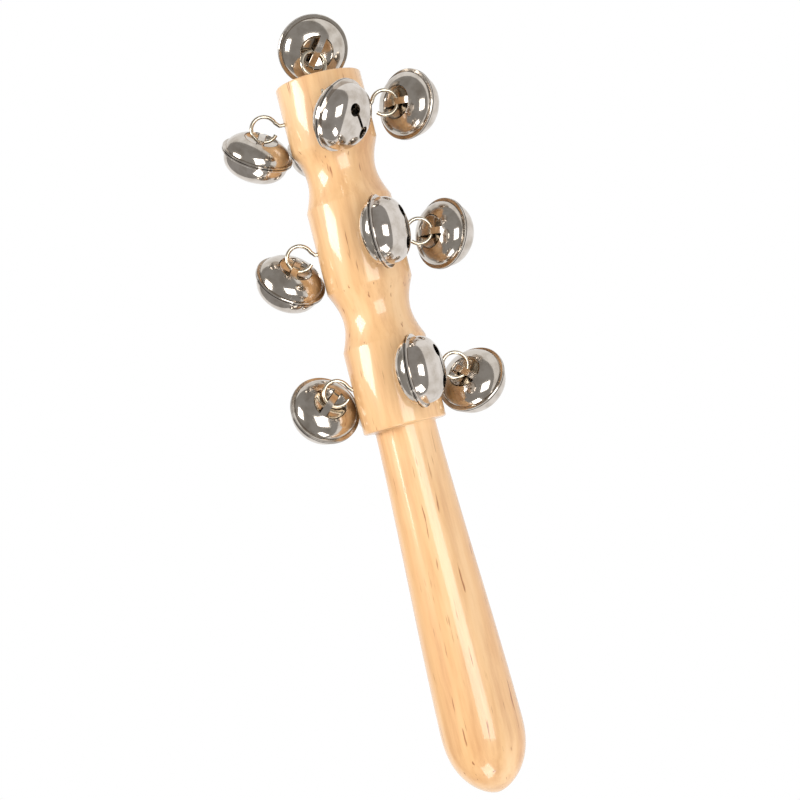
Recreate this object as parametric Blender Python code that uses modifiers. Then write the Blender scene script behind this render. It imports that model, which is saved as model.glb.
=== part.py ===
"""Jingle stick: pressed-steel jingle bells hung on screw eyes round a turned wooden stick.

The stick lies on its lower bells, as it is laid down after use: +Y is its head end, +Z is up and
the origin is on the table, under the middle of the whole object. All sizes are in metres.
"""

import math

import bmesh
import bpy
from mathutils import Matrix, Vector

# Turned stick, from the head's end face (0) to the rounded butt
HEAD_RADIUS = 0.0145
MIDDLE_RADIUS = 0.0144
LOWER_RADIUS = 0.0140
COVE_DEPTH = 0.0028
HEAD_LENGTH = 0.0227
COVE_LENGTH = 0.0200
MIDDLE_LENGTH = 0.0280
LOWER_LENGTH = 0.0280
NECK_RADIUS = 0.0102
NECK_FILLET = 0.0010
SWELL_RADIUS = 0.01377
HANDLE_LENGTH = 0.1020
NOSE_LENGTH = 0.0217
EDGE_ROUND = 0.0006
STICK_STEPS = 24

# Screw eye: a wire ring whose shank is screwed into the wood
WIRE_RADIUS = 0.00065
RING_RADIUS = 0.00425
RING_GAP_DEG = 40.0
SHANK_LENGTH = 0.0090
SHANK_CLEARANCE = 0.0003
WIRE_POINTS = 17

# Bell: a base half and a crown half, pressed from sheet and crimped at their flanges
BODY_RADIUS = 0.0110
FLANGE_RADIUS = 0.0120
WALL = 0.0006
SEAM_GAP = 0.0003
CROWN_DEPTH = 0.0085
CROWN_POWER = 2.6
BASE_DEPTH = 0.0063
BASE_POWER = 2.2
DISH_RADIUS = 0.0058
DISH_DEPTH = 0.0026
BRIDGE_WIDTH = 0.0022
BRIDGE_THICKNESS = 0.0006
EYE_PLAY = 0.0003
SLOT_HOLE_RADIUS = 0.0021
SLOT_HOLE_SPACING = 0.0102
SLIT_WIDTH = 0.0010
BELL_STEPS = 16

# Loose steel ball inside each bell
PELLET_RADIUS = 0.0026
PELLET_CLEARANCE = 0.00035

# Rest between a swung bell and the wood or its own ring
REST_GAP = 0.0004

# How the stick lies: turned about its own axis, and its head raised
LIE_ROLL_DEG = -3.55
LIE_PITCH_DEG = 2.08

# Where the three rows of eyes stand, measured from the head's end face
ROW_STATIONS = (0.0120, 0.0567, 0.1030)
SIDES = {"front": -45.0, "right": 45.0, "back": 135.0, "left": 225.0}

# Each hung bell: how far its ring stands off the wood, where its bridge sits round the ring
# (0 is outermost, 90 is towards the butt), how far the bell is swung about the wire, how far the
# eye is set round from its row, and how far the crown's slot is turned from the wire
HUNG_BELLS = {
    ("row1", "front"): (0.0060, 48.0, 43.0, -6.0, 7.0),
    ("row1", "right"): (0.0056, 12.0, 40.0, 0.0, 25.0),
    ("row1", "back"): (0.0060, 52.0, 12.0, 0.0, 50.0),
    ("row1", "left"): (0.0069, 61.0, -90.0, 0.0, 80.0),
    ("row2", "front"): (0.0060, 8.0, 90.0, 0.0, -5.0),
    ("row2", "right"): (0.0062, 16.0, 35.0, 0.0, 40.0),
    ("row2", "back"): (0.0060, 10.0, -42.0, 0.0, 15.0),
    ("row2", "left"): (0.0060, 54.0, -90.0, 0.0, 60.0),
    ("row3", "front"): (0.0062, 6.0, 90.0, 0.0, 4.0),
    ("row3", "right"): (0.0072, 50.0, 44.0, 0.0, 70.0),
    ("row3", "back"): (0.0060, 52.0, 12.0, 0.0, 30.0),
    ("row3", "left"): (0.0054, 42.0, -90.0, 0.0, 10.0),
}
HEAD_EYE_STAND = 0.0060
HEAD_BRIDGE_DEG = 30.0
HEAD_SWING_DEG = 60.0
HEAD_RING_TURN_DEG = 20.0
HEAD_SLOT_DEG = 35.0

HINGE_TO_SEAM = BASE_DEPTH - BRIDGE_THICKNESS - EYE_PLAY - WIRE_RADIUS
SHOULDER = HEAD_LENGTH + 2 * COVE_LENGTH + MIDDLE_LENGTH + LOWER_LENGTH
SWELL = SHOULDER + HANDLE_LENGTH
STICK_LENGTH = SWELL + NOSE_LENGTH


def remove_start_objects():
    for thing in list(bpy.data.objects):
        bpy.data.objects.remove(thing, do_unlink=True)


def new_collection(name):
    collection = bpy.data.collections.new(name)
    bpy.context.scene.collection.children.link(collection)
    return collection


def make_material(name, colour, roughness, metallic):
    material = bpy.data.materials.new(name)
    material.use_nodes = True
    shader = material.node_tree.nodes["Principled BSDF"]
    shader.inputs["Base Color"].default_value = (*colour, 1.0)
    shader.inputs["Roughness"].default_value = roughness
    shader.inputs["Metallic"].default_value = metallic
    return material


def add_empty(name, parent, matrix):
    empty = bpy.data.objects.new(name, None)
    empty.empty_display_size = 0.01
    parts.objects.link(empty)
    empty.parent = parent
    empty.matrix_local = matrix
    return empty


def add_part(name, mesh, parent, matrix=None):
    part = bpy.data.objects.new(name, mesh)
    parts.objects.link(part)
    part.parent = parent
    part.matrix_local = matrix or Matrix()
    return part


def turned(name, profile, steps):
    """A solid of revolution about Z from a profile of (radius, height), top to bottom."""
    mesh = bpy.data.meshes.new(name)
    points = [(radius, 0.0, height) for radius, height in profile]
    mesh.from_pydata(points, [(i, i + 1) for i in range(len(points) - 1)], [])
    lathe = bpy.data.objects.new(name, mesh)
    tools.objects.link(lathe)
    screw = lathe.modifiers.new("lathe", "SCREW")
    screw.axis = "Z"
    screw.steps = steps
    screw.render_steps = steps
    screw.use_merge_vertices = True
    screw.merge_threshold = 0.00001
    return lathe


def finished_mesh(thing, name, material):
    """The mesh of an object with its modifiers applied; the object itself is removed."""
    bpy.context.view_layer.update()
    evaluated = thing.evaluated_get(bpy.context.evaluated_depsgraph_get())
    mesh = bpy.data.meshes.new_from_object(evaluated)
    mesh.name = name
    body = bmesh.new()
    body.from_mesh(mesh)
    body.transform(thing.matrix_world)
    bmesh.ops.remove_doubles(body, verts=body.verts, dist=0.000002)
    bmesh.ops.recalc_face_normals(body, faces=body.faces)
    body.to_mesh(mesh)
    body.free()
    mesh.materials.clear()
    mesh.materials.append(material)
    mesh.shade_smooth()
    mesh.set_sharp_from_angle(angle=math.radians(35))
    bpy.data.objects.remove(thing, do_unlink=True)
    return mesh


def as_cutter(thing):
    thing.hide_render = True
    thing.display_type = "WIRE"
    return thing


def add_boolean(thing, other, operation):
    modifier = thing.modifiers.new(operation.lower(), "BOOLEAN")
    modifier.operation = operation
    modifier.solver = "EXACT"
    modifier.object = other


def cylinder_tool(name, radius, length, sides, matrix):
    mesh = bpy.data.meshes.new(name)
    body = bmesh.new()
    bmesh.ops.create_cone(
        body, cap_ends=True, segments=sides, radius1=radius, radius2=radius, depth=length
    )
    body.to_mesh(mesh)
    body.free()
    tool = bpy.data.objects.new(name, mesh)
    tools.objects.link(tool)
    tool.matrix_world = matrix
    return as_cutter(tool)


def box_tool(name, size, centre):
    mesh = bpy.data.meshes.new(name)
    body = bmesh.new()
    bmesh.ops.create_cube(body, size=1.0, matrix=Matrix.Diagonal((*size, 1.0)))
    body.to_mesh(mesh)
    body.free()
    tool = bpy.data.objects.new(name, mesh)
    tools.objects.link(tool)
    tool.location = centre
    return as_cutter(tool)


def cove_profile(start, edge_radius, end_radius):
    """A hollow between two sections: a shallow arc, deepest in the middle."""
    points = []
    for step in range(1, 8):
        along = step / 8
        edge = edge_radius + (end_radius - edge_radius) * along
        points.append((start + COVE_LENGTH * along, edge - COVE_DEPTH * math.sin(math.pi * along)))
    return points


def stick_outline():
    """(distance from the head, radius) of the turned stick, from the head's axis to the butt's."""
    cove1 = HEAD_LENGTH
    middle = cove1 + COVE_LENGTH
    cove2 = middle + MIDDLE_LENGTH
    lower = cove2 + COVE_LENGTH
    outline = [(0.0, 0.0), (0.0, HEAD_RADIUS - EDGE_ROUND), (EDGE_ROUND, HEAD_RADIUS)]
    outline += [(cove1, HEAD_RADIUS)] + cove_profile(cove1, HEAD_RADIUS, MIDDLE_RADIUS)
    outline += [(middle, MIDDLE_RADIUS), (cove2, MIDDLE_RADIUS)]
    outline += cove_profile(cove2, MIDDLE_RADIUS, LOWER_RADIUS)
    outline += [(lower, LOWER_RADIUS), (SHOULDER - EDGE_ROUND, LOWER_RADIUS)]
    outline += [(SHOULDER, LOWER_RADIUS - EDGE_ROUND), (SHOULDER, NECK_RADIUS + NECK_FILLET)]
    outline += [(SHOULDER + NECK_FILLET, NECK_RADIUS)]
    for step in range(1, 10):
        along = step / 9
        rise = 0.5 * along + 0.5 * along * along * (3 - 2 * along)
        radius = NECK_RADIUS + (SWELL_RADIUS - NECK_RADIUS) * rise
        outline.append((SHOULDER + NECK_FILLET + (HANDLE_LENGTH - NECK_FILLET) * along, radius))
    for step in range(1, 9):
        along = math.sin(math.radians(90 * step / 9))
        radius = SWELL_RADIUS * (1 - along**2.3) ** 0.6
        outline.append((SWELL + NOSE_LENGTH * along, radius))
    outline.append((STICK_LENGTH, 0.0))
    return outline


def stick_radius(distance):
    outline = stick_outline()
    for (start, near), (end, far) in zip(outline, outline[1:]):
        if start <= distance <= end and end > start:
            return near + (far - near) * (distance - start) / (end - start)
    return 0.0


def dome(radius, depth, power, start, steps):
    """Points of a squashed dome from its flange towards its pole, as (radius, height)."""
    points = []
    for step in range(steps + 1):
        turn = math.radians(90 * step / steps)
        across = radius * math.cos(turn) ** (2 / power)
        up = start + (depth - start) * math.sin(turn) ** (2 / power)
        points.append((across, up))
    return points


def crown_profile():
    """Closed section of the crown half: over the outside, round the flange, back inside."""
    flange_low = SEAM_GAP / 2
    flange_high = flange_low + WALL
    outside = dome(BODY_RADIUS, CROWN_DEPTH, CROWN_POWER, flange_high, 6)
    inside = dome(BODY_RADIUS - WALL, CROWN_DEPTH - WALL, CROWN_POWER, flange_low, 4)
    profile = [(0.0, outside[-1][1])] + outside[-2::-1]
    profile += [(FLANGE_RADIUS, flange_high), (FLANGE_RADIUS, flange_low)]
    profile += inside[:-1] + [(0.0, inside[-1][1])]
    return profile


def base_height(radius):
    """How far the base's dome stands below the seam at a radius."""
    return BASE_DEPTH * (1 - min(1.0, radius / BODY_RADIUS) ** BASE_POWER) ** (1 / BASE_POWER)


def dish_points(radius, floor, drop, turns):
    """A round dish, from its rim to its middle: floor and drop are depths below the seam."""
    points = []
    for turn in turns:
        bend = math.radians(turn)
        points.append((radius * math.sin(bend), -floor - drop * (1 - math.cos(bend))))
    return points


def base_profile():
    """Closed section of the base half: inside, round the flange, over the dome, into the dish."""
    flange_high = -SEAM_GAP / 2
    flange_low = flange_high - WALL
    floor = BASE_DEPTH - DISH_DEPTH
    drop = base_height(DISH_RADIUS) - floor
    profile = dish_points(DISH_RADIUS + WALL, floor - WALL, drop - 0.4 * WALL, (0, 50, 90))
    for share in (0.80, 0.92):
        inner = (BODY_RADIUS * share - WALL * share, WALL * share - base_height(BODY_RADIUS * share))
        profile.append(inner)
    profile.append((BODY_RADIUS - WALL, flange_low - WALL))
    profile += [(BODY_RADIUS - WALL, flange_high), (FLANGE_RADIUS, flange_high)]
    profile += [(FLANGE_RADIUS, flange_low), (BODY_RADIUS, flange_low)]
    for share in (0.97, 0.87, 0.72):
        profile.append((BODY_RADIUS * share, -base_height(BODY_RADIUS * share)))
    profile += dish_points(DISH_RADIUS, floor, drop, (90, 60, 30, 0))
    return profile


def make_bridge():
    """The strap left across the dish, curved like the dome; the ring passes under it."""
    reach = DISH_RADIUS + 0.5 * WALL
    spread = [reach * step / 4 for step in range(-4, 5)]
    sunk = 0.00005
    outline = [(y, -base_height(abs(y)) + sunk) for y in spread]
    outline += [(y, -base_height(abs(y)) + sunk + BRIDGE_THICKNESS) for y in reversed(spread)]
    flat = bpy.data.curves.new("bridge", "CURVE")
    flat.dimensions = "2D"
    flat.fill_mode = "BOTH"
    flat.extrude = BRIDGE_WIDTH / 2
    spline = flat.splines.new("POLY")
    spline.points.add(len(outline) - 1)
    for point, (along, up) in zip(spline.points, outline):
        point.co = (along, up, 0.0, 1.0)
    spline.use_cyclic_u = True
    strap = bpy.data.objects.new("bridge", flat)
    tools.objects.link(strap)
    strap.matrix_world = Matrix(((0, 0, 1, 0), (1, 0, 0, 0), (0, 1, 0, 0), (0, 0, 0, 1)))
    return curve_to_mesh(strap)


def curve_to_mesh(thing):
    """A curve object as a mesh object, its caps welded."""
    bpy.context.view_layer.update()
    evaluated = thing.evaluated_get(bpy.context.evaluated_depsgraph_get())
    mesh = bpy.data.meshes.new_from_object(evaluated)
    body = bmesh.new()
    body.from_mesh(mesh)
    bmesh.ops.remove_doubles(body, verts=body.verts, dist=0.00001)
    bmesh.ops.recalc_face_normals(body, faces=body.faces)
    body.to_mesh(mesh)
    body.free()
    solid = bpy.data.objects.new(thing.name, mesh)
    tools.objects.link(solid)
    solid.matrix_world = thing.matrix_world
    bpy.data.objects.remove(thing, do_unlink=True)
    return solid


def make_base_mesh(material):
    shell = turned("bell_base", base_profile(), BELL_STEPS)
    bridge = make_bridge()
    add_boolean(shell, as_cutter(bridge), "UNION")
    shell.location.z = HINGE_TO_SEAM
    bridge.location.z = HINGE_TO_SEAM
    mesh = finished_mesh(shell, "bell_base", material)
    bpy.data.objects.remove(bridge, do_unlink=True)
    return mesh


def make_crown_mesh(material, slot_turn):
    """The crown half, its slot turned from the ring's wire by slot_turn degrees."""
    shell = turned("bell_crown", crown_profile(), BELL_STEPS)
    depth = 0.8 * CROWN_DEPTH
    cutters = []
    turn = Matrix.Rotation(math.radians(slot_turn), 4, "Z")
    for side in (-1, 1):
        place = Matrix.Translation((side * SLOT_HOLE_SPACING / 2, 0.0, CROWN_DEPTH))
        cutters.append(cylinder_tool("slot_hole", SLOT_HOLE_RADIUS, depth, 10, turn @ place))
    slit = box_tool("slit", (SLOT_HOLE_SPACING, SLIT_WIDTH, depth), (0.0, 0.0, CROWN_DEPTH))
    slit.matrix_world = turn @ Matrix.Translation((0.0, 0.0, CROWN_DEPTH))
    cutters.append(slit)
    for cutter in cutters:
        add_boolean(shell, cutter, "DIFFERENCE")
    mesh = finished_mesh(shell, "bell_crown", material)
    mesh.transform(Matrix.Translation((0.0, 0.0, HINGE_TO_SEAM)))
    for cutter in cutters:
        bpy.data.objects.remove(cutter, do_unlink=True)
    return mesh


def make_pellet_mesh(material):
    mesh = bpy.data.meshes.new("pellet")
    body = bmesh.new()
    bmesh.ops.create_icosphere(body, subdivisions=2, radius=PELLET_RADIUS)
    body.to_mesh(mesh)
    body.free()
    mesh.materials.append(material)
    mesh.shade_smooth()
    return mesh


def ring_point(angle):
    """A point of the ring's wire: 0 degrees is outermost, 90 is towards the butt."""
    turn = math.radians(angle)
    return Vector((RING_RADIUS * math.cos(turn), RING_RADIUS * math.sin(turn), 0.0))


def make_eye_mesh(material, stand):
    """Ring and shank in one wire; the ring's open end stops just short of the shank."""
    wire = bpy.data.curves.new("screw_eye", "CURVE")
    wire.dimensions = "3D"
    wire.bevel_depth = WIRE_RADIUS
    wire.bevel_resolution = 1
    wire.use_fill_caps = True
    first = -162.0
    last = 180.0 - RING_GAP_DEG
    path = [Vector((-stand - SHANK_LENGTH, 0.0, 0.0)), Vector((-RING_RADIUS - 0.0010, 0.0, 0.0))]
    path += [ring_point(first + (last - first) * step / WIRE_POINTS) for step in range(WIRE_POINTS + 1)]
    spline = wire.splines.new("POLY")
    spline.points.add(len(path) - 1)
    for point, place in zip(spline.points, path):
        point.co = (*place, 1.0)
    thing = bpy.data.objects.new("screw_eye", wire)
    tools.objects.link(thing)
    return finished_mesh(curve_to_mesh(thing), "screw_eye", material)


def eye_matrix(side_angle, station, stand):
    """The frame of a row's ring: X outwards, Y towards the butt, origin at the ring's centre."""
    turn = math.radians(side_angle)
    out = Vector((math.cos(turn), math.sin(turn), 0.0))
    round_stick = Vector((-math.sin(turn), math.cos(turn), 0.0))
    centre = out * (stick_radius(station) + stand) - Vector((0.0, 0.0, station))
    return frame_matrix(out, Vector((0.0, 0.0, -1.0)), round_stick, centre)


def head_eye_matrix():
    """The frame of the ring on the head's end face: X towards the head, Y across it."""
    turn = math.radians(SIDES["right"] + HEAD_RING_TURN_DEG)
    across = Vector((math.cos(turn), math.sin(turn), 0.0))
    away = Vector((-math.sin(turn), math.cos(turn), 0.0))
    centre = Vector((0.0, 0.0, HEAD_EYE_STAND))
    return frame_matrix(Vector((0.0, 0.0, 1.0)), across, away, centre)


def frame_matrix(x_axis, y_axis, z_axis, origin):
    matrix = Matrix((x_axis, y_axis, z_axis)).transposed().to_4x4()
    matrix.translation = origin
    return matrix


def bell_matrix(bridge_angle, swing):
    """A bell on its ring: origin on the wire under the bridge, X along the wire, Z to the crown."""
    turn = math.radians(bridge_angle)
    lean = math.radians(swing)
    outward = Vector((math.cos(turn), math.sin(turn), 0.0))
    along_wire = Vector((-math.sin(turn), math.cos(turn), 0.0))
    side = Vector((0.0, 0.0, 1.0))
    crown = outward * math.cos(lean) + side * math.sin(lean)
    across = side * math.cos(lean) - outward * math.sin(lean)
    return frame_matrix(along_wire, across, crown, ring_point(bridge_angle))


def bell_outline():
    """Points all over a bell's outside, in the bell's own frame."""
    section = [(FLANGE_RADIUS, SEAM_GAP / 2 + WALL), (FLANGE_RADIUS, -SEAM_GAP / 2 - WALL)]
    section += dome(BODY_RADIUS, CROWN_DEPTH, CROWN_POWER, SEAM_GAP / 2 + WALL, 6)
    section += [(BODY_RADIUS * share, -base_height(BODY_RADIUS * share)) for share in (0.97, 0.87, 0.72)]
    points = []
    for radius, height in section:
        for step in range(24):
            turn = 2 * math.pi * step / 24
            across = radius * math.cos(turn)
            along = radius * math.sin(turn)
            points.append(Vector((across, along, height + HINGE_TO_SEAM)))
    return points


def clear_of_stick(points):
    for point in points:
        distance = -point.z
        if -REST_GAP < distance < STICK_LENGTH:
            if math.hypot(point.x, point.y) < stick_radius(max(0.0, distance)) + REST_GAP:
                return False
    return True


def clear_of_ring(bell):
    """Whether the ring misses the base's dome and dish, which it meets at a large swing."""
    inverse = bell.inverted()
    floor = BASE_DEPTH - DISH_DEPTH
    drop = base_height(DISH_RADIUS) - floor
    section = [(BODY_RADIUS * share, -base_height(BODY_RADIUS * share)) for share in (0.9, 0.8, 0.7, 0.6)]
    section += dish_points(DISH_RADIUS, floor, drop, (90, 75, 60, 45, 30, 0))
    for angle in range(-180, 180, 10):
        point = inverse @ ring_point(angle)
        radius = math.hypot(point.x, point.y)
        for across, height in section:
            if math.hypot(radius - across, point.z - HINGE_TO_SEAM - height) < WIRE_RADIUS + EYE_PLAY / 2:
                return False
    return True


def bell_is_clear(eye, bridge_angle, swing):
    bell = bell_matrix(bridge_angle, swing)
    placed = eye @ bell
    return clear_of_ring(bell) and clear_of_stick([placed @ point for point in bell_outline()])


def eased_bridge(eye, bridge_angle):
    """The bridge's place round the ring, eased outwards until the unswung bell clears the wood."""
    while bridge_angle > 1.0 and not bell_is_clear(eye, bridge_angle, 0):
        bridge_angle -= 1.0
    return bridge_angle


def swing_stop(eye, bridge_angle, sign):
    """The largest swing, in whole degrees, that leaves the bell clear of the wood and its ring."""
    swing = 0
    while swing < 90 and bell_is_clear(eye, bridge_angle, sign * (swing + 1)):
        swing += 1
    return sign * swing


def pellet_place(down):
    """Where the pellet lies in its bell, as (radius, height), and its turn about the bell's axis."""
    tilt = math.atan2(math.hypot(down.x, down.y), down.z)
    tilt = min(tilt, math.radians(85))
    radius = BODY_RADIUS - WALL
    depth = CROWN_DEPTH - WALL - SEAM_GAP / 2
    best = None
    for step in range(1, 90):
        turn = math.radians(step)
        across = math.cos(turn) ** (2 / CROWN_POWER)
        up = math.sin(turn) ** (2 / CROWN_POWER)
        reach = radius * across * math.sin(tilt) + depth * up * math.cos(tilt)
        if best is None or reach > best[0]:
            best = (reach, across, up)
    _, across, up = best
    normal = Vector((across ** (CROWN_POWER - 1) / radius, up ** (CROWN_POWER - 1) / depth))
    normal.normalize()
    inset = PELLET_RADIUS + PELLET_CLEARANCE
    place = Vector((radius * across, SEAM_GAP / 2 + depth * up)) - normal * inset
    return max(0.0, place.x), place.y, math.atan2(down.y, down.x)


def hang_bell(name, eye, stand, bridge_angle, swing, slot_turn):
    """Adds one bell's pieces to the eye frame: the screw eye, base, crown and pellet."""
    eye_empty = add_empty(name + "_eye_frame", stick_axis, eye)
    add_part(name + "_screw_eye", make_eye_mesh(plated_wire, stand), eye_empty)
    bridge_angle = eased_bridge(eye, bridge_angle)
    low = swing_stop(eye, bridge_angle, -1)
    high = swing_stop(eye, bridge_angle, 1)
    swing = min(max(swing, low), high)
    hinge = add_empty(name + "_hinge", eye_empty, bell_matrix(bridge_angle, swing))
    add_part(name + "_bell_base", base_mesh, hinge)
    add_part(name + "_bell_crown", make_crown_mesh(nickel_crown, slot_turn), hinge)
    bpy.context.view_layer.update()
    down = hinge.matrix_world.to_3x3().inverted() @ Vector((0.0, 0.0, -1.0))
    radius, height, turn = pellet_place(down)
    centre = add_empty(name + "_bell_axis", hinge, Matrix.Rotation(turn, 4, "Z"))
    place = Matrix.Translation((radius, 0.0, height + HINGE_TO_SEAM))
    add_part(name + "_pellet", pellet_mesh, centre, place)
    swings[name] = (low - swing, high - swing)


def make_stick(material, eyes):
    """The turned stick, with a pilot hole for each screw eye's shank."""
    outline = [(radius, -distance) for distance, radius in stick_outline()]
    stick = turned("turned_stick", outline, STICK_STEPS)
    radius = WIRE_RADIUS + SHANK_CLEARANCE
    length = 2 * SHANK_LENGTH
    drills = []
    for eye, stand in eyes:
        middle = -stand - SHANK_LENGTH - SHANK_CLEARANCE + length / 2
        turn = Matrix.Rotation(math.radians(90), 4, "Y")
        place = eye @ Matrix.Translation((middle, 0.0, 0.0)) @ turn
        drill = cylinder_tool("pilot_hole", radius, length, 8, place)
        add_boolean(stick, drill, "DIFFERENCE")
        drills.append(drill)
    mesh = finished_mesh(stick, "turned_stick", material)
    for drill in drills:
        bpy.data.objects.remove(drill, do_unlink=True)
    return mesh


def stand_on_table():
    """Moves the whole object so that it stands on Z = 0 with its box centred on the origin."""
    bpy.context.view_layer.update()
    corners = []
    for thing in parts.objects:
        if thing.type == "MESH":
            corners += [thing.matrix_world @ vertex.co for vertex in thing.data.vertices]
    low = [min(corner[axis] for corner in corners) for axis in range(3)]
    high = [max(corner[axis] for corner in corners) for axis in range(3)]
    stick_axis.location.x -= (low[0] + high[0]) / 2
    stick_axis.location.y -= (low[1] + high[1]) / 2
    stick_axis.location.z -= low[2]
    bpy.context.view_layer.update()


remove_start_objects()
parts = new_collection("jingle_stick")
tools = new_collection("cutters")
lacquered_maple = make_material("lacquered_maple", (0.82, 0.60, 0.36), 0.32, 0.0)
plated_wire = make_material("plated_wire", (0.72, 0.68, 0.60), 0.22, 1.0)
nickel_base = make_material("nickel_base", (0.68, 0.64, 0.58), 0.14, 1.0)
nickel_crown = make_material("nickel_crown", (0.70, 0.66, 0.60), 0.12, 1.0)
pellet_steel = make_material("pellet_steel", (0.40, 0.39, 0.38), 0.40, 1.0)

# The stick's own frame has +Z towards the head and its origin on the head's end face
lie = Matrix.Rotation(math.radians(-90 + LIE_PITCH_DEG), 4, "X")
roll = Matrix.Rotation(math.radians(LIE_ROLL_DEG), 4, "Z")
stick_axis = add_empty("stick_axis", None, lie @ roll)
swings = {}

base_mesh = make_base_mesh(nickel_base)
pellet_mesh = make_pellet_mesh(pellet_steel)
eyes = [(head_eye_matrix(), HEAD_EYE_STAND)]
hang_bell("head", eyes[0][0], HEAD_EYE_STAND, HEAD_BRIDGE_DEG, HEAD_SWING_DEG, HEAD_SLOT_DEG)
for (row, side), (stand, bridge_angle, swing, aside, slot_turn) in HUNG_BELLS.items():
    station = ROW_STATIONS[int(row[-1]) - 1]
    eye = eye_matrix(SIDES[side] + aside, station, stand)
    eyes.append((eye, stand))
    hang_bell(row + "_" + side, eye, stand, bridge_angle, swing, slot_turn)
add_part("turned_stick", make_stick(lacquered_maple, eyes), stick_axis)
stand_on_table()
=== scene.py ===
"""Jingle stick: the dressed part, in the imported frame. Metres, +Y is the head end, +Z is up."""

import math

import bmesh
import bpy
from mathutils import Matrix, Vector


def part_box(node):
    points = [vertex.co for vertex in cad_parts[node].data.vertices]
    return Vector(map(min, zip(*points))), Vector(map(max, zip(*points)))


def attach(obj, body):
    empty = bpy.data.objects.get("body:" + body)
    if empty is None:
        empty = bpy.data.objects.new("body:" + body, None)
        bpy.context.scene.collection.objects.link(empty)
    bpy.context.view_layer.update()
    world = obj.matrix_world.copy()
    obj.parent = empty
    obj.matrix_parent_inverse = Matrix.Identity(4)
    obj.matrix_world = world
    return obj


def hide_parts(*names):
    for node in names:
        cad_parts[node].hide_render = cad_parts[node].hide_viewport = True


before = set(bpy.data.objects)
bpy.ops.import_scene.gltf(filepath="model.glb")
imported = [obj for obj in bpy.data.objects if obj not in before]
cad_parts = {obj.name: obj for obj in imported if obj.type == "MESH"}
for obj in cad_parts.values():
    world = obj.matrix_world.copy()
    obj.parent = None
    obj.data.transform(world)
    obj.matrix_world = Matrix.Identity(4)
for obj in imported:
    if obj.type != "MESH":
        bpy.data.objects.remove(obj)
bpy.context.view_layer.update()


# The stick's own frame: +Z towards the head, its origin on the head's end face.
# Rows of bells stand round it, and every piece below is made in this frame's terms.
STICK_ORIGIN = Vector((0.000189, 0.109637, 0.033852))
PITCH_DEG = 2.08
ROLL_DEG = -3.55
lie = Matrix.Rotation(math.radians(-90 + PITCH_DEG), 4, "X")
roll = Matrix.Rotation(math.radians(ROLL_DEG), 4, "Z")
STICK_FRAME = Matrix.Translation(STICK_ORIGIN) @ lie @ roll


def frame_matrix(x_axis, y_axis, z_axis, origin):
    matrix = Matrix((x_axis, y_axis, z_axis)).transposed().to_4x4()
    matrix.translation = origin
    return matrix


# Camera: fitted to the photographed silhouette, looking down on the stick from its right.
# The three axes below are the camera's, written in the stick's own frame.
FACING = math.radians(37)
FRONT = Vector((math.sin(FACING), -math.cos(FACING), 0.0))
RIGHT = Vector((math.cos(FACING), math.sin(FACING), 0.0))
HEADWARD = Vector((0.0, 0.0, 1.0))
TILT = math.radians(14.23)
NEARING = math.radians(3.05)
HEAD_IN_VIEW = Vector((-0.02743, -0.10637, 0.706))
across = math.cos(NEARING)
head_seen = Vector((-math.sin(TILT) * across, -math.cos(TILT) * across, math.sin(NEARING)))
right_seen = Vector((0.9693, -0.2458, 0.0))
front_seen = Vector((-0.0131, -0.0516, -0.9986))
view_axes = [
    HEADWARD * head_seen[i] + RIGHT * right_seen[i] + FRONT * front_seen[i] for i in range(3)
]
eye_place = -sum((view_axes[i] * HEAD_IN_VIEW[i] for i in range(3)), Vector())
camera = bpy.data.objects.new("camera", bpy.data.cameras.new("camera"))
bpy.context.scene.collection.objects.link(camera)
camera.matrix_world = STICK_FRAME @ frame_matrix(
    view_axes[0].normalized(), -view_axes[1].normalized(), -view_axes[2].normalized(), eye_place
)
camera.data.sensor_width = 36.0
camera.data.lens = 95.3
camera.data.clip_start = 0.01
bpy.context.scene.camera = camera


def mesh_piece(name, source, place, material, body, slot, *nodes):
    """One finished piece from a scratch object: its modifiers applied, set in the row frame."""
    bpy.context.view_layer.update()
    evaluated = source.evaluated_get(bpy.context.evaluated_depsgraph_get())
    mesh = bpy.data.meshes.new_from_object(evaluated)
    work = bmesh.new()
    work.from_mesh(mesh)
    bmesh.ops.remove_doubles(work, verts=work.verts, dist=0.000002)
    bmesh.ops.recalc_face_normals(work, faces=work.faces)
    work.transform(place)
    work.to_mesh(mesh)
    work.free()
    bpy.data.objects.remove(source, do_unlink=True)
    mesh.materials.clear()
    mesh.materials.append(material)
    mesh.shade_smooth()
    mesh.set_sharp_from_angle(angle=math.radians(35))
    piece = bpy.data.objects.new(name, mesh)
    bpy.context.scene.collection.objects.link(piece)
    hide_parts(*nodes)
    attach(piece, body)
    return piece


def turned(name, profile, steps):
    """A solid of revolution about Z from a profile of (radius, height), top to bottom."""
    mesh = bpy.data.meshes.new(name)
    points = [(radius, 0.0, height) for radius, height in profile]
    mesh.from_pydata(points, [(i, i + 1) for i in range(len(points) - 1)], [])
    lathe = bpy.data.objects.new(name, mesh)
    bpy.context.scene.collection.objects.link(lathe)
    screw = lathe.modifiers.new("lathe", "SCREW")
    screw.axis = "Z"
    screw.steps = steps
    screw.render_steps = steps
    screw.use_merge_vertices = True
    screw.merge_threshold = 0.00001
    return lathe


def tool(name, build, matrix):
    """A cutter or added block for a Boolean, hidden from the render."""
    mesh = bpy.data.meshes.new(name)
    work = bmesh.new()
    build(work)
    work.to_mesh(mesh)
    work.free()
    thing = bpy.data.objects.new(name, mesh)
    bpy.context.scene.collection.objects.link(thing)
    thing.matrix_world = matrix
    thing.hide_render = True
    return thing


def boolean(thing, other, operation):
    modifier = thing.modifiers.new(operation.lower(), "BOOLEAN")
    modifier.operation = operation
    modifier.solver = "EXACT"
    modifier.object = other


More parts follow.
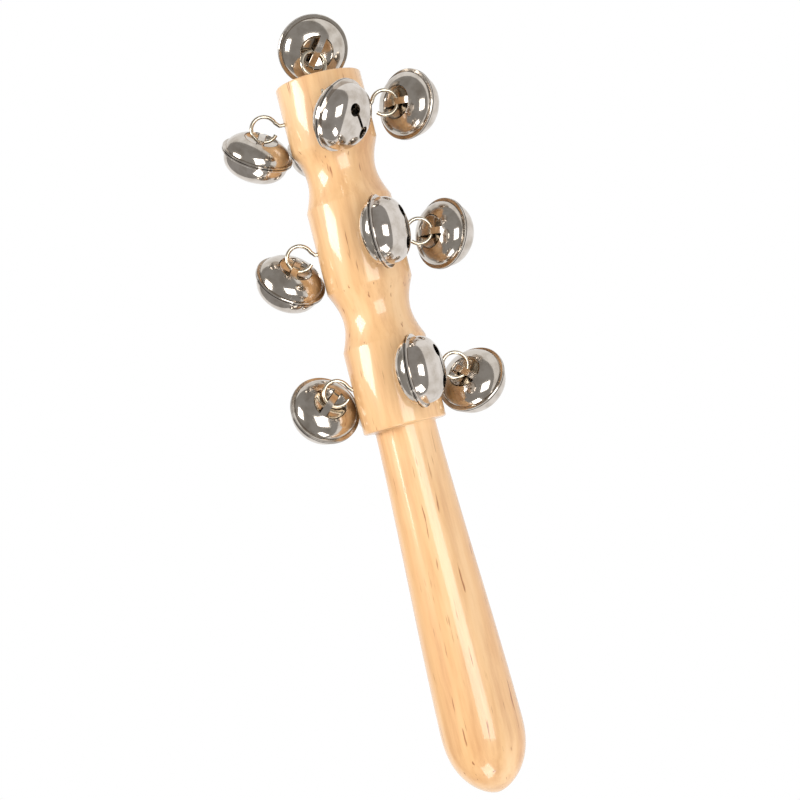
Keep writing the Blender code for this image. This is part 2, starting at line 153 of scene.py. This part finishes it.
def srgb(text):
    """A colour written as hex in sRGB, as the linear values that the shader takes."""
    values = [int(text[i:i + 2], 16) / 255 for i in (1, 3, 5)]
    linear = [v / 12.92 if v <= 0.04045 else ((v + 0.055) / 1.055) ** 2.4 for v in values]
    return (*linear, 1.0)


def node(tree, kind, links=(), **values):
    """Adds a shader node: values set its sockets or properties, links join its inputs."""
    made = tree.nodes.new(kind)
    for key, value in values.items():
        if key in made.inputs:
            made.inputs[key].default_value = value
        else:
            setattr(made, key, value)
    for socket, source in links:
        tree.links.new(source, made.inputs[socket])
    return made


def new_material(name):
    material = bpy.data.materials.new(name)
    material.use_nodes = True
    tree = material.node_tree
    return material, tree, tree.nodes["Principled BSDF"]


def ramp(tree, source, stops):
    """A colour ramp from a value, its stops given as (position, hex colour)."""
    made = tree.nodes.new("ShaderNodeValToRGB")
    elements = made.color_ramp.elements
    while len(elements) < len(stops):
        elements.new(0.5)
    for element, (position, colour) in zip(elements, stops):
        element.position = position
        element.color = srgb(colour)
    tree.links.new(source, made.inputs["Fac"])
    return made


# Lacquered maple: pale honey wood, its grain drawn out along the stick,
# with short brown flecks, faint lathe rings and a clear gloss coat.
def lacquered_maple_wood():
    material, tree, shader = new_material("lacquered_pale_maple")
    place = node(tree, "ShaderNodeTexCoord")

    def stretched(scale, detail, roughness=0.5):
        """Noise on the object's own coordinates, drawn out by a scale for each axis."""
        spread = node(tree, "ShaderNodeMapping", [("Vector", place.outputs["Object"])], Scale=scale)
        links = [("Vector", spread.outputs[0])]
        return node(
            tree, "ShaderNodeTexNoise", links, Scale=1.0, Detail=detail, Roughness=roughness
        )

    broad = stretched((70.0, 9.0, 70.0), 4.0, 0.55)
    grain = stretched((260.0, 22.0, 260.0), 8.0, 0.65)
    fleck = stretched((900.0, 70.0, 900.0), 2.0)
    lathe = stretched((1.0, 1500.0, 1.0), 2.0)
    tones = [(0.25, "#DBA76F"), (0.50, "#EBC08C"), (0.75, "#F5D3A6")]
    tone = ramp(tree, broad.outputs["Fac"], tones)
    streaks = [(0.32, "#C79A68"), (0.52, "#F3E6D4"), (0.75, "#FFFFFF")]
    fine = ramp(tree, grain.outputs["Fac"], streaks)
    spots = ramp(tree, fleck.outputs["Fac"], [(0.26, "#A06A3C"), (0.335, "#FFFFFF")])

    def multiplied(under, over, share):
        made = node(tree, "ShaderNodeMix", data_type="RGBA", blend_type="MULTIPLY")
        made.inputs[0].default_value = share
        tree.links.new(under, made.inputs[6])
        tree.links.new(over, made.inputs[7])
        return made

    mixed = multiplied(tone.outputs[0], fine.outputs[0], 0.45)
    flecked = multiplied(mixed.outputs[2], spots.outputs[0], 0.75)
    tree.links.new(flecked.outputs[2], shader.inputs["Base Color"])
    shader.inputs["Roughness"].default_value = 0.42
    shader.inputs["Coat Weight"].default_value = 0.8
    shader.inputs["Coat Roughness"].default_value = 0.09
    rings = [("Height", lathe.outputs["Fac"])]
    bump = node(tree, "ShaderNodeBump", rings, Strength=0.10, Distance=0.00005)
    tree.links.new(bump.outputs[0], shader.inputs["Normal"])
    tree.links.new(bump.outputs[0], shader.inputs["Coat Normal"])
    return material


# Bright nickel plate: warm grey mirror with faint polishing marks and duller patches.
# The bases, crowns and rings differ a little in tone and in how dull they have worn.
def nickel_plate(name, colour, worn_colour, dull):
    material, tree, shader = new_material(name)
    place = node(tree, "ShaderNodeTexCoord")
    spot = [("Vector", place.outputs["Object"])]
    patches = node(tree, "ShaderNodeTexNoise", spot, Scale=260.0, Detail=5.0)
    marks = node(tree, "ShaderNodeTexNoise", spot, Scale=3200.0, Detail=3.0)
    tone = ramp(tree, patches.outputs["Fac"], [(0.30, worn_colour), (0.60, colour)])
    rough = node(tree, "ShaderNodeMapRange", [("Value", patches.outputs["Fac"])])
    limits = {"From Min": 0.3, "From Max": 0.7, "To Min": dull + 0.08, "To Max": dull}
    for socket, value in limits.items():
        rough.inputs[socket].default_value = value
    tree.links.new(tone.outputs[0], shader.inputs["Base Color"])
    tree.links.new(rough.outputs[0], shader.inputs["Roughness"])
    shader.inputs["Metallic"].default_value = 1.0
    polish = [("Height", marks.outputs["Fac"])]
    bump = node(tree, "ShaderNodeBump", polish, Strength=0.06, Distance=0.00002)
    tree.links.new(bump.outputs[0], shader.inputs["Normal"])
    return material


maple = lacquered_maple_wood()
crown_plate = nickel_plate("bright_nickel_plated_crown", "#D8D0C8", "#BDB3A8", 0.07)
base_plate = nickel_plate("bright_nickel_plated_base", "#D0C8BE", "#B2A89C", 0.09)
wire_plate = nickel_plate("bright_plated_wire", "#D4CAB8", "#A89C88", 0.16)
pellet_metal = nickel_plate("dull_rolled_steel", "#85817C", "#5F5A55", 0.34)

# Turned stick: three ringed sections with coves between, a shoulder, neck, swell and round butt.
# Radii and stations in metres from the head's end face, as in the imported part.
SHOULDER = 0.1187
SWELL = 0.2207
PILOT_RADIUS = 0.00095
PILOT_CLEARANCE = 0.0003


def stick_outline():
    outline = [(0.0, 0.0), (0.0, 0.0139)]
    for turn in (0.5, 1.0, 1.57):
        outline.append((0.0006 * (1 - math.cos(turn)), 0.0139 + 0.0006 * math.sin(turn)))
    edges = ((0.0227, 0.0145, 0.0144), (0.0707, 0.0144, 0.0140))
    for start, near, far in edges:
        for step in range(0, 25):
            along = step / 24
            edge = near + (far - near) * along
            outline.append((start + 0.02 * along, edge - 0.0028 * math.sin(math.pi * along)))
    outline += [(0.1181, 0.0140), (0.11835, 0.01392), (0.11855, 0.01372), (SHOULDER, 0.0134)]
    outline += [(SHOULDER, 0.0112), (0.1188, 0.0107), (0.1191, 0.0103), (0.1197, 0.0102)]
    for step in range(1, 37):
        along = step / 36
        rise = 0.5 * along + 0.5 * along * along * (3 - 2 * along)
        outline.append((0.1197 + 0.1010 * along, 0.0102 + 0.00357 * rise))
    for step in range(1, 28):
        along = math.sin(math.radians(90 * step / 28))
        outline.append((SWELL + 0.0217 * along, 0.01377 * (1 - along**2.3) ** 0.6))
    return outline + [(0.2424, 0.0)]


def stick_radius(distance):
    outline = stick_outline()
    for (start, near), (end, far) in zip(outline, outline[1:]):
        if start <= distance <= end and end > start:
            return near + (far - near) * (distance - start) / (end - start)
    return 0.0


# Bells: where each one hangs, as (row station, side in degrees, ring's stand-off from the wood,
# bridge's place round the ring, swing about the wire, slot's turn). The head's bell comes first.
BELLS = {
    "head": (None, 65.0, 0.0060, 30.0, 60.0, 35.0),
    "row1_front": (0.0120, -51.0, 0.0060, 48.0, 43.0, 7.0),
    "row1_right": (0.0120, 45.0, 0.0056, 12.0, 40.0, 25.0),
    "row1_back": (0.0120, 135.0, 0.0060, 52.0, 12.0, 50.0),
    "row1_left": (0.0120, 225.0, 0.0069, 61.0, -33.0, 80.0),
    "row2_front": (0.0567, -45.0, 0.0060, 8.0, 66.0, -5.0),
    "row2_right": (0.0567, 45.0, 0.0062, 16.0, 35.0, 40.0),
    "row2_back": (0.0567, 135.0, 0.0060, 10.0, -42.0, 15.0),
    "row2_left": (0.0567, 225.0, 0.0060, 54.0, -44.0, 60.0),
    "row3_front": (0.1030, -45.0, 0.0062, 6.0, 66.0, 4.0),
    "row3_right": (0.1030, 45.0, 0.0072, 50.0, 44.0, 70.0),
    "row3_back": (0.1030, 135.0, 0.0060, 52.0, 12.0, 30.0),
    "row3_left": (0.1030, 225.0, 0.0054, 42.0, -63.0, 10.0),
}
RING = 0.00425
WIRE = 0.00065
BODY = 0.0110
FLANGE = 0.0120
WALL = 0.0006
GAP = 0.00015
HINGE_TO_SEAM = 0.00475
EDGE = 0.00015
CROWN_DEPTH = 0.0085
BASE_DEPTH = 0.0063
DISH_RADIUS = 0.0058
DISH_DEPTH = 0.0026
BRIDGE_HALF_WIDTH = 0.0011
SLOT_HOLE = 0.0021
SLOT_SPACING = 0.0102
SHANK = 0.009
PELLET = 0.0026


def eye_frame(station, side, stand):
    turn = math.radians(side)
    out = Vector((math.cos(turn), math.sin(turn), 0.0))
    across = Vector((-math.sin(turn), math.cos(turn), 0.0))
    if station is None:
        return frame_matrix(Vector((0.0, 0.0, 1.0)), out, across, Vector((0.0, 0.0, stand)))
    centre = out * (stick_radius(station) + stand) - Vector((0.0, 0.0, station))
    return frame_matrix(out, Vector((0.0, 0.0, -1.0)), across, centre)


def bell_frame(bridge, swing):
    turn = math.radians(bridge)
    lean = math.radians(swing)
    outward = Vector((math.cos(turn), math.sin(turn), 0.0))
    wire = Vector((-math.sin(turn), math.cos(turn), 0.0))
    side = Vector((0.0, 0.0, 1.0))
    crown = outward * math.cos(lean) + side * math.sin(lean)
    across = side * math.cos(lean) - outward * math.sin(lean)
    return frame_matrix(wire, across, crown, outward * RING)


def dome(radius, depth, start, steps):
    points = []
    for step in range(steps + 1):
        turn = math.radians(90 * step / steps)
        across = radius * max(0.0, math.cos(turn)) ** (2 / 2.6)
        points.append((across, start + (depth - start) * math.sin(turn) ** (2 / 2.6)))
    return points


def base_height(radius):
    return BASE_DEPTH * (1 - min(1.0, radius / BODY) ** 2.2) ** (1 / 2.2)


def dish(radius, floor, drop, steps):
    turns = [math.radians(90 * step / steps) for step in range(steps + 1)]
    return [(radius * math.sin(t), -floor - drop * (1 - math.cos(t))) for t in turns]


def crown_shell():
    outside = dome(BODY, CROWN_DEPTH, GAP + WALL, 24)
    inside = dome(BODY - WALL, CROWN_DEPTH - WALL, GAP, 20)
    rim = [(FLANGE - EDGE, GAP + WALL), (FLANGE, GAP + WALL - EDGE), (FLANGE, GAP)]
    return turned("crown", list(reversed(outside)) + rim + inside, 72)


def base_shell():
    floor = BASE_DEPTH - DISH_DEPTH
    drop = base_height(DISH_RADIUS) - floor
    profile = dish(DISH_RADIUS + WALL, floor - WALL, drop - 0.4 * WALL, 8)
    for share in (0.70, 0.80, 0.88, 0.92):
        height = WALL * share - base_height(BODY * share)
        profile.append((BODY * share - WALL * share, height))
    profile += [(BODY - WALL, -GAP - 2 * WALL), (BODY - WALL, -GAP), (FLANGE, -GAP)]
    profile += [(FLANGE, -GAP - WALL + EDGE), (FLANGE - EDGE, -GAP - WALL), (BODY, -GAP - WALL)]
    for share in (0.985, 0.96, 0.92, 0.86, 0.78, 0.70, 0.62):
        profile.append((BODY * share, -base_height(BODY * share)))
    profile += reversed(dish(DISH_RADIUS, floor, drop, 10))
    return turned("base", profile, 72)


def bridge_block():
    """The strap across the dish, curved like the dome, with the ring's wire passing under it."""
    def build(work):
        rows = []
        for step in range(-12, 13):
            y = 0.0061 * step / 12
            low = -base_height(abs(y)) + 0.00005
            half = BRIDGE_HALF_WIDTH
            corners = ((-half, low), (half, low), (half, low + WALL), (-half, low + WALL))
            rows.append([(x, y, height) for x, height in corners])
        verts = [[work.verts.new(p) for p in row] for row in rows]
        for near, far in zip(verts, verts[1:]):
            for i in range(4):
                work.faces.new((near[i], near[(i + 1) % 4], far[(i + 1) % 4], far[i]))
        work.faces.new(verts[0])
        work.faces.new(list(reversed(verts[-1])))
        bmesh.ops.recalc_face_normals(work, faces=work.faces)
    return tool("bridge", build, Matrix())


def slot_tools(turned_by):
    turn = Matrix.Rotation(math.radians(turned_by), 4, "Z")

    def hole(work):
        bmesh.ops.create_cone(
            work, cap_ends=True, segments=40, radius1=SLOT_HOLE, radius2=SLOT_HOLE, depth=0.0068
        )

    def slit(work):
        size = Matrix.Diagonal((SLOT_SPACING, 0.0010, 0.0068, 1.0))
        bmesh.ops.create_cube(work, size=1.0, matrix=size)

    made = [tool("slit", slit, turn @ Matrix.Translation((0.0, 0.0, CROWN_DEPTH)))]
    for side in (-1, 1):
        place = Matrix.Translation((side * SLOT_SPACING / 2, 0.0, CROWN_DEPTH))
        made.append(tool("slot_hole", hole, turn @ place))
    return made


def eye_wire(stand):
    wire = bpy.data.curves.new("screw_eye", "CURVE")
    wire.dimensions = "3D"
    wire.bevel_depth = WIRE
    wire.bevel_resolution = 4
    wire.use_fill_caps = True
    path = [Vector((-stand - SHANK, 0.0, 0.0)), Vector((-RING - 0.0010, 0.0, 0.0))]
    for step in range(61):
        turn = math.radians(-162.0 + 302.0 * step / 60)
        path.append(Vector((RING * math.cos(turn), RING * math.sin(turn), 0.0)))
    spline = wire.splines.new("POLY")
    spline.points.add(len(path) - 1)
    for point, place in zip(spline.points, path):
        point.co = (*place, 1.0)
    thing = bpy.data.objects.new("screw_eye", wire)
    bpy.context.scene.collection.objects.link(thing)
    return thing


pilot_places = []
for name, (station, side, stand, bridge, swing, slot_turn) in BELLS.items():
    eye = STICK_FRAME @ eye_frame(station, side, stand)
    bell = eye @ bell_frame(bridge, swing) @ Matrix.Translation((0.0, 0.0, HINGE_TO_SEAM))
    pilot_places.append((eye_frame(station, side, stand), stand))
    mesh_piece(
        name + "_eye_wire", eye_wire(stand), eye, wire_plate,
        "stick", "plated_wire", name + "_screw_eye",
    )
    crown = crown_shell()
    cutters = slot_tools(slot_turn)
    for cutter in cutters:
        boolean(crown, cutter, "DIFFERENCE")
    mesh_piece(
        name + "_crown", crown, bell, crown_plate,
        name + "_bell", "nickel_crown", name + "_bell_crown",
    )
    base = base_shell()
    bridge_tool = bridge_block()
    boolean(base, bridge_tool, "UNION")
    mesh_piece(
        name + "_base", base, bell, base_plate,
        name + "_bell", "nickel_base", name + "_bell_base",
    )
    for used in cutters + [bridge_tool]:
        bpy.data.objects.remove(used, do_unlink=True)
    low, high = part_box(name + "_pellet")
    centre = (Vector(low) + Vector(high)) / 2
    ball = bpy.data.meshes.new("ball")
    work = bmesh.new()
    bmesh.ops.create_icosphere(work, subdivisions=4, radius=PELLET)
    work.to_mesh(ball)
    work.free()
    pellet = bpy.data.objects.new("ball", ball)
    bpy.context.scene.collection.objects.link(pellet)
    place = Matrix.Translation(centre)
    mesh_piece(
        name + "_ball_steel", pellet, place, pellet_metal,
        name + "_ball", "pellet_steel", name + "_pellet",
    )

# The stick itself, with a pilot hole for every shank.
# Drilled last, because each hole follows its own eye.
def drill(work):
    bmesh.ops.create_cone(
        work, cap_ends=True, segments=24, radius1=PILOT_RADIUS, radius2=PILOT_RADIUS,
        depth=2 * SHANK,
    )


stick = turned("stick", [(radius, -distance) for distance, radius in stick_outline()], 96)
drills = []
for eye, stand in pilot_places:
    middle = Matrix.Translation((-stand - PILOT_CLEARANCE, 0.0, 0.0))
    place = eye @ middle @ Matrix.Rotation(math.radians(90), 4, "Y")
    cutter = tool("pilot", drill, place)
    boolean(stick, cutter, "DIFFERENCE")
    drills.append(cutter)
mesh_piece("stick_wood", stick, STICK_FRAME, maple, "stick", "lacquered_maple", "turned_stick")
for cutter in drills:
    bpy.data.objects.remove(cutter, do_unlink=True)


# Floor: a plain pale sheet that the camera and the metal see as white.
# Soft lights: one large window high on the left, a weaker one on the right and one low in front.
def studio():
    mesh = bpy.data.meshes.new("floor")
    mesh.from_pydata([(-3, -3, 0), (3, -3, 0), (3, 3, 0), (-3, 3, 0)], [], [(0, 1, 2, 3)])
    floor = bpy.data.objects.new("floor", mesh)
    bpy.context.scene.collection.objects.link(floor)
    material, tree, shader = new_material("white_sheet")
    shader.inputs["Base Color"].default_value = (0.82, 0.82, 0.82, 1.0)
    shader.inputs["Roughness"].default_value = 0.9
    glow = node(tree, "ShaderNodeEmission", Color=(1.0, 1.0, 1.0, 1.0), Strength=1.0)
    path = node(tree, "ShaderNodeLightPath")
    seen = node(tree, "ShaderNodeMath", operation="MAXIMUM")
    tree.links.new(path.outputs["Is Camera Ray"], seen.inputs[0])
    tree.links.new(path.outputs["Is Glossy Ray"], seen.inputs[1])
    either = node(tree, "ShaderNodeMath", operation="MAXIMUM")
    tree.links.new(seen.outputs[0], either.inputs[0])
    tree.links.new(path.outputs["Is Transmission Ray"], either.inputs[1])
    mixed = node(tree, "ShaderNodeMixShader")
    tree.links.new(either.outputs[0], mixed.inputs[0])
    tree.links.new(shader.outputs[0], mixed.inputs[1])
    tree.links.new(glow.outputs[0], mixed.inputs[2])
    tree.links.new(mixed.outputs[0], tree.nodes["Material Output"].inputs["Surface"])
    mesh.materials.append(material)
    world = bpy.data.worlds.new("studio")
    bpy.context.scene.world = world
    world.use_nodes = True
    sky = world.node_tree.nodes["Background"]
    sky.inputs["Color"].default_value = (1.0, 0.98, 0.96, 1.0)
    sky.inputs["Strength"].default_value = 0.35
    for name, place, size, power in (
        ("window", (-0.5, 0.3, 0.9), 0.5, 9.0),
        ("fill", (0.8, -0.1, 0.7), 0.6, 6.0),
        ("low", (0.1, -0.9, 0.4), 0.4, 3.0),
    ):
        light = bpy.data.lights.new(name, "AREA")
        light.size = size
        light.energy = power
        lamp = bpy.data.objects.new(name, light)
        bpy.context.scene.collection.objects.link(lamp)
        lamp.location = place
        lamp.rotation_euler = (-Vector(place)).to_track_quat("-Z", "Y").to_euler()
    bpy.context.scene.view_settings.view_transform = "Standard"


studio()
bpy.context.view_layer.update()
